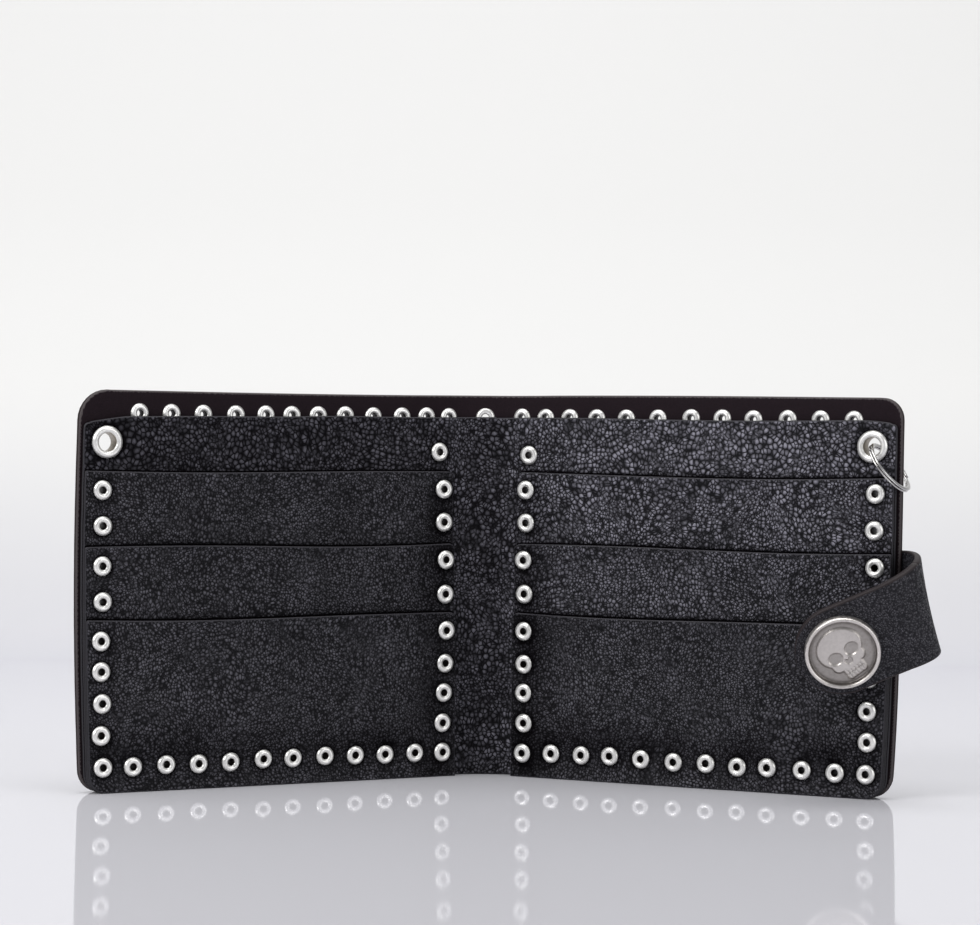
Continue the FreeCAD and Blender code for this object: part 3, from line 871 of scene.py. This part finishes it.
def make_panels():
    shell = leather_material("cover_grain", 1.2, 0.14, (0.008, 0.03), 0.8)
    smooth = suede_material("cover_inner_face", (0.010, 0.006, 0.008, 1), 0.75, 0.1)
    cut = suede_material("cover_cut_edge", (0.010, 0.005, 0.005, 1), 0.6)
    # Lighter band on the cover's rounded front edge: partly a burnished edge, partly a painted highlight.
    border = suede_material("cover_border", (0.045, 0.037, 0.038, 1), 0.5, 0.3)
    dark_cut = suede_material("lining_cut_edge", (0.004, 0.003, 0.003, 1), 0.7)
    lip = suede_material("lining_border", (0.016, 0.015, 0.019, 1), 0.5, 0.3)
    # The lining's light tones are darkened over its left end and the spine by painted shade.
    lining = leather_material("lining_grain", 1.15, 0.34, (0.008, 0.27), 0.85)
    # Lit and shaded copies of the pocket grain: the right pockets get lighter tones than the left and the
    # upper ones the lightest, as painted light; pebble size and boldness also differ.
    shaded_left_pocket_grain = leather_material("pocket_grain_left", 0.9, 0.26, (0.007, 0.098), 0.5, warp=1.3)
    pockets = {
        "left": [shaded_left_pocket_grain] * 3,
        "right": [
            leather_material("pocket_grain_right_upper", 1.05, 0.34, (0.007, 0.25), 0.8, warp=1.3),
            leather_material("pocket_grain_right_middle", 1.0, 0.3, (0.007, 0.17), 0.7, warp=1.3),
            leather_material("pocket_grain_right_lower", 0.95, 0.24, (0.007, 0.10), 0.5, warp=1.3)]}
    for name, side in SIDES.items():
        cover = make_cover(name, side, [smooth, shell, cut, border])
        bend_at_crease(cover, side)
        liner = make_liner(name, side, [lining, lining, dark_cut, lip])
        bend_at_crease(liner, side)
        spine = ("_spine",) if side == LEFT else ()
        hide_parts(*("cover" + end for end in ("_" + name,) + spine))
        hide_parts(*("liner" + end for end in ("_" + name,) + spine))
        for level in range(3):
            grain = pockets[name][level]
            make_pocket(name, side, level, [grain, grain, dark_cut, lip])


# ---- Turned metal

def turned_mesh(profile, segments=40):
    """Closed ring of revolution about Z from a closed (radius, height) loop."""
    angles = [2 * math.pi * n / segments for n in range(segments)]
    verts = [
        (radius * math.cos(angle), radius * math.sin(angle), height)
        for angle in angles for radius, height in profile]
    faces = tube_faces(segments + 1, len(profile), flip=True)
    return np.array(verts), [tuple(i % len(verts) for i in face) for face in faces]


def eyelet_profile(hole, flange, rise, length, rear):
    """Section of an eyelet; height 0 is the leather's face, the barrel goes down."""
    points = []
    for n in range(13):
        share = n / 12
        if share > 0.45:
            height = rise * (1 - ((share - 0.45) / 0.55) ** 2.2) * 0.92 + rise * 0.08
        else:
            height = rise * (0.42 + 0.58 * math.sin(math.pi * share * 1.12) ** 0.8)
        points.append((hole + (flange - hole) * share, height))
    return points + [
        (flange - 0.04 * MM, -0.05 * MM), (hole + 0.5 * MM, -0.05 * MM), (hole + 0.45 * MM, -length),
        (rear, -length), (rear - 0.1 * MM, -length - 0.3 * MM), ((rear + hole) / 2, -length - 0.5 * MM),
        (hole + 0.1 * MM, -length - 0.42 * MM), (hole, -length - 0.2 * MM)]


def eyelet_group(node, name, side, body, materials, sizes, rng, face_rise):
    """All eyelets of a CAD node as one piece of separate rings, each set a little askew."""
    hole, flange, rear = sizes
    verts, faces, index = [], [], []
    for reach, height, top in places_of(node, side):
        face = top - face_rise
        profile = eyelet_profile(hole, flange, face_rise, face - BACK, rear)
        ring, ring_faces = turned_mesh(profile)
        lean = Matrix.Rotation(math.radians(rng.uniform(-2.5, 2.5)), 3, "X") \
            @ Matrix.Rotation(math.radians(rng.uniform(-2.5, 2.5)), 3, "Y")
        near_face = np.clip(1 + ring[:, 2] / (1.2 * MM), 0, 1)[:, None]
        ring = ring + (ring @ np.array(lean).T - ring) * near_face
        shift = (rng.uniform(-0.12, 0.12) * MM, rng.uniform(-0.12, 0.12) * MM)
        s = side * (CREASE_X + reach + ring[:, 0] + shift[0])
        start = len(verts)
        verts += place(s, face + ring[:, 2], height + ring[:, 1] + shift[1]).tolist()
        faces += [tuple(start + i for i in corners[::side]) for corners in ring_faces]
        # Faces of the hole's inner wall take the second material, which for the small eyelets is painted
        # shade.
        index += [n % len(profile) == len(profile) - 1 for n in range(len(ring_faces))]
    piece = link(name, verts, faces, materials, index)
    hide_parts(node)
    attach(piece, body)


SMALL_SIZES = (0.9 * MM, 2.45 * MM, 2.1 * MM)
CHAIN_SIZES = (2.3 * MM, 4.05 * MM, 3.7 * MM)


def make_eyelets(nickel, painted_hole_shade, barrel):
    rng = random.Random(21)
    for name, side in SIDES.items():
        for row in ROWS + ("top",):
            eyelet_group(
                "eyelets_%s_%s" % (name, row), "eyelet_row_%s_%s" % (name, row), side, name + "_half",
                [nickel, painted_hole_shade], SMALL_SIZES, rng, EYELET_RISE)
        eyelet_group(
            "chain_eyelet_" + name, "big_eyelet_" + name, side, name + "_half", [nickel, barrel],
            CHAIN_SIZES, rng, CHAIN_RISE)


# ---- Split ring

def make_ring(material):
    """Two turns of wire side by side, crossing over once."""
    points = mesh_points("split_ring")
    centre = points.mean(0)
    _, _, axes = np.linalg.svd(points - centre, full_matrices=False)
    u, v, normal = axes
    outer = np.linalg.norm(points - centre, axis=1).max()
    wire = 0.65 * MM
    radius = outer - wire
    steps, turns, sides = 220, 1.98, 12
    verts = []
    for n in range(steps + 1):
        share = n / steps
        angle = 2 * math.pi * turns * share + 2.2
        side = np.clip((share - 0.5) / 0.07, -1, 1)
        offset = 0.33 * MM * math.sin(side * math.pi / 2)
        out = u * math.cos(angle) + v * math.sin(angle)
        for k in range(sides):
            around = 2 * math.pi * k / sides
            verts.append(
                centre + out * (radius + 0.58 * MM * math.cos(around))
                + normal * (offset + 0.31 * MM * math.sin(around)))
    faces = tube_faces(steps + 1, sides)
    faces.append(tuple(range(sides)))
    faces.append(tuple(reversed(range(steps * sides, (steps + 1) * sides))))
    piece = link("ring_of_wire", verts, faces, [material])
    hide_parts("split_ring")
    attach(piece, "ring")


# ---- Strap

ROOT_JOINT = JOINTS["strap_root_bend"]
TIP_JOINT = JOINTS["strap_tip_bend"]
LOOP_AXIS = -Vector(ROOT_JOINT["axis"])
LOOP_TURN = math.radians(ROOT_JOINT["range_deg"][1] + TIP_JOINT["range_deg"][1])
LOOP_LENGTH = 23.0 * MM
LOOP_CONE = 0.21
ROOT_SHARE = 0.25
STRAP_T = 1.8 * MM
STRAP_HALF_W = 11.6 * MM
STRAP_BACK_LENGTH = 32.8 * MM      # loop to the centre of the sewn end's round
STRAP_BUTTON_AT = 13.8 * MM        # loop to the button
STRAP_CUTS = 24                    # across each face
ROUND_CUTS = (0.9, 0.94, 0.97, 0.985, 0.995, 0.999)
ALONG = Vector((math.cos(FOLD), -math.sin(FOLD), 0))
OUT_OF_BACK = Vector((math.sin(FOLD), math.cos(FOLD), 0))
UP = Vector((0, 0, 1))


def loop_turned(vector, share):
    return Quaternion(LOOP_AXIS, LOOP_TURN * share) @ vector


def loop_centre(share):
    """Middle of the strap at a share of the loop, measured from the root joint."""
    centre = Vector(ROOT_JOINT["pos_m"])
    steps = 40
    for n in range(steps):
        middle = ROOT_SHARE + (share - ROOT_SHARE) * (n + 0.5) / steps
        centre += loop_turned(ALONG, middle) * (LOOP_LENGTH * (share - ROOT_SHARE) / steps)
    return centre


def strap_station(distance):
    """(centre, along, width, outward) at a distance from the loop's start."""
    share = min(max(distance / LOOP_LENGTH, 0), 1)
    along = loop_turned(ALONG, share)
    centre = loop_centre(share) + along * (distance - share * LOOP_LENGTH)
    width = loop_turned(UP, share) - ALONG * (LOOP_CONE * math.sin(math.pi * share))
    return centre, along, width, loop_turned(OUT_OF_BACK, share)


def strap_section(half_width):
    """Section of the strap as (across, out) points: flat faces with rounded edges."""
    half, radius = STRAP_T / 2, 0.55 * MM
    inner = max(half_width - radius, 0)
    edge, level = inner + radius, half - radius
    corner = [(radius * math.sin(math.pi / 8 * n), radius * math.cos(math.pi / 8 * n)) for n in (1, 2, 3)]
    points = [(inner * (2 * n / STRAP_CUTS - 1), half) for n in range(STRAP_CUTS + 1)]
    points += [(inner + x, level + y) for x, y in corner]
    points += [(edge, level), (edge, -level)]
    points += [(inner + y, -level - x) for x, y in corner]
    return points + [(-x, -y) for x, y in points]


def strap_width_at(distance, low, high):
    """Half width, narrowing to round ends beyond low and high."""
    beyond = max(low - distance, distance - high, 0)
    return math.sqrt(max(STRAP_HALF_W ** 2 - beyond ** 2, 0))


def strap_piece(name, start, end, low, high, materials):
    """Strap leather from start to end; its ends round off beyond low and high."""
    count = max(2, int((end - start) / (0.7 * MM)))
    distances = [start + (end - start) * n / count for n in range(count + 1)]
    for share in ROUND_CUTS:
        reach = STRAP_HALF_W * math.sin(math.pi / 2 * share)
        distances += [high + reach] if end > high else []
        distances += [low - reach] if start < low else []
    distances = sorted(set(d for d in distances if strap_width_at(d, low, high) > 0.3 * MM))
    verts, flat = [], []
    for distance in distances:
        centre, _, width, outward = strap_station(distance)
        wave = 0.12 * MM * math.sin(distance / (6 * MM))
        for across, out in strap_section(strap_width_at(distance, low, high)):
            verts.append(centre + width * across + outward * (out + wave * (across / STRAP_HALF_W) ** 2))
            flat.append((distance, across, out))
    size = len(strap_section(STRAP_HALF_W))
    faces = tube_faces(len(distances), size)
    faces.append(tuple(reversed(range(size))))
    faces.append(tuple(range(len(verts) - size, len(verts))))
    on_cut_edge = np.arange(size) % (size // 2) >= STRAP_CUTS
    index = np.concatenate([np.tile(on_cut_edge, len(distances) - 1), [True, True]])
    piece = link(name, verts, faces, materials, index)
    add_attribute(piece, "flat", "FLOAT_VECTOR", "vector", flat)
    return piece


def make_strap():
    grain = leather_material("strap_grain", 0.65, 0.09, (0.016, 0.07), 0.25)
    cut = suede_material("strap_cut_edge", (0.014, 0.010, 0.011, 1), 0.5, 0.25)
    low, high = -STRAP_BACK_LENGTH, LOOP_LENGTH + STRAP_BUTTON_AT
    middle = LOOP_LENGTH / 2
    back = strap_piece("strap_leather_back", low - STRAP_HALF_W, middle, low, high, [grain, cut])
    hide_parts("strap_anchor", "strap_loop")
    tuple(strap_station(-0.5 * MM)[0])
    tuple(strap_station(LOOP_LENGTH * 0.48)[0])
    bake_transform(back)
    front = strap_piece("strap_leather_front", middle, high + STRAP_HALF_W, low, high, [grain, cut])
    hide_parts("strap_front")
    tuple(strap_station(LOOP_LENGTH * 0.52)[0])
    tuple(strap_station(LOOP_LENGTH + 0.5 * MM)[0])
    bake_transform(front)


# ---- Button

def ellipse(x, y, cx, cy, rx, ry, turn=0.0):
    """Signed, roughly metric distance to an ellipse: negative inside."""
    c, s = math.cos(turn), math.sin(turn)
    dx, dy = x - cx, y - cy
    px, py = (c * dx + s * dy) / rx, (-s * dx + c * dy) / ry
    return (np.hypot(px, py) - 1) * min(rx, ry)


def box_shape(x, y, cx, cy, hx, hy, radius):
    dx = np.abs(x - cx) - hx + radius
    dy = np.abs(y - cy) - hy + radius
    return np.hypot(np.maximum(dx, 0), np.maximum(dy, 0)) + np.minimum(np.maximum(dx, dy), 0) - radius


def rise_of(distance, width):
    """1 inside a shape, 0 outside, with a smooth shoulder of the given width."""
    t = np.clip(0.5 - distance / width, 0, 1)
    return t * t * (3 - 2 * t)


def skull_relief(x, y):
    """A plain, symmetric skull seen from the front; sizes in millimetres."""
    cranium = ellipse(x, y, 0, 1.35, 5.0, 4.35)
    cheeks = box_shape(x, y, 0, -1.7, 3.9, 1.7, 1.3)
    jaw = box_shape(x, y, 0, -4.1, 2.35, 1.75, 0.7)
    body = np.minimum(np.minimum(cranium, cheeks), jaw)
    height = rise_of(body, 0.7)
    dome = np.clip(1 - (np.hypot(x / 6.0, (y - 0.5) / 6.6)) ** 2, 0, 1)
    height = height * (0.72 + 0.28 * dome)
    for sign in (-1, 1):
        socket = ellipse(x, y, sign * 2.05, -0.15, 1.55, 1.35, sign * 0.25)
        height -= 0.75 * rise_of(socket, 0.6)
    nose = np.minimum(
        ellipse(x, y, -0.38, -2.15, 0.42, 0.75, 0.35), ellipse(x, y, 0.38, -2.15, 0.42, 0.75, -0.35))
    height -= 0.65 * rise_of(nose, 0.35)
    for n in range(-2, 3):
        gap = box_shape(x, y, n * 0.8, -4.75, 0.1, 0.95, 0.09)
        height -= 0.5 * rise_of(gap, 0.25) * (y < -3.3)
    bite = box_shape(x, y, 0, -4.55, 2.1, 0.08, 0.07)
    height -= 0.3 * rise_of(bite, 0.25)
    return np.clip(height, 0, 1)


SKULL_SCALE = 1.15
SKULL_TURN = math.radians(14)
BUTTON_FIELD_R = 8.3               # millimetres, as the profile below
BUTTON_RIM = ((8.42, 2.3), (8.6, 2.52), (8.85, 2.55), (9.08, 2.4), (9.25, 2.05), (9.25, 0.35), (8.95, 0.0))
BUTTON_CUTS = 200


def make_button(material):
    """Concho: raised rim, sunk field and a skull in low relief."""
    centre, along, width, outward = strap_station(LOOP_LENGTH + STRAP_BUTTON_AT)
    face = centre + outward * (STRAP_T / 2)
    radii = [BUTTON_FIELD_R * (n + 1) / 100 for n in range(100)] + [radius for radius, _ in BUTTON_RIM]
    angles = np.arange(BUTTON_CUTS) * 2 * math.pi / BUTTON_CUTS
    radius = np.concatenate([[0.0], np.repeat(radii, BUTTON_CUTS), [0.0]])
    angle = np.concatenate([[0.0], np.tile(angles, len(radii)), [0.0]])
    x, y = radius * np.cos(angle), radius * np.sin(angle)
    c, s = math.cos(SKULL_TURN), math.sin(SKULL_TURN)
    skull = skull_relief((c * x + s * y) / SKULL_SCALE, (c * y - s * x) / SKULL_SCALE + 0.1)
    climb = np.clip((radius - BUTTON_FIELD_R + 0.35) / 0.35, 0, 1)
    z = 1.15 + 0.02 * Ripple(5, 0.9)(x, y) + 0.6 * skull + 1.1 * climb ** 2
    relief = 0.36 + 0.44 * skull - 0.25 * np.exp(-((radius - BUTTON_FIELD_R + 0.5) / 0.45) ** 2)
    rim = 1 + 100 * BUTTON_CUTS
    z[rim:-1] = np.repeat([height for _, height in BUTTON_RIM], BUTTON_CUTS)
    relief[rim:-1] = 0.95
    z[-1] = 0.0
    faces = [(0, 1 + k, 1 + (k + 1) % BUTTON_CUTS) for k in range(BUTTON_CUTS)]
    faces += tube_faces(len(radii), BUTTON_CUTS, first=1, flip=True)
    last, hub = len(x) - 1 - BUTTON_CUTS, len(x) - 1
    faces += [(last + (k + 1) % BUTTON_CUTS, last + k, hub) for k in range(BUTTON_CUTS)]
    basis = np.array([tuple(-along), tuple(width.normalized()), tuple(outward)])
    verts = np.array(tuple(face)) + np.stack([x, y, z], 1) * MM @ basis
    piece = link("button_skull_relief", verts, faces, [material])
    add_attribute(piece, "relief", "FLOAT", "value", relief.astype(np.float32))
    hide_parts("concho_button")
    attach(piece, "strap_tip")


# ---- Carried-over hardware

def paint(node, material):
    piece = frame["nodes"][node]
    piece.data.materials.clear()
    piece.data.materials.append(material)


make_camera()
make_studio()
make_floor()
nickel = metal_material("bright_nickel", (0.95, 0.94, 0.91, 1), 0.28, 0.14, 0.7)
# Dark inner wall of the small eyelets' holes: painted shade down the hole, whose real wall is the same
# nickel.
painted_hole_shade = metal_material("eyelet_throat", (0.018, 0.010, 0.009, 1), 0.5, 0.1, 0.2)
barrel = metal_material("big_eyelet_barrel", (0.42, 0.38, 0.32, 1), 0.35, 0.15)
satin = metal_material("satin_nickel", (0.55, 0.53, 0.50, 1), 0.3, 0.15)
steel = metal_material("ring_steel", (0.62, 0.61, 0.6, 1), 0.12, 0.1)
pewter = pewter_material("antique_pewter")
make_panels()
make_eyelets(nickel, painted_hole_shade, barrel)
make_ring(steel)
make_strap()
make_button(pewter)
paint("eyelet_spine_top", nickel)
for part in ("snap_stud_plate", "strap_rivet_plates", "snap_stud", "snap_socket"):
    paint(part, satin)
paint("strap_rivets", satin)
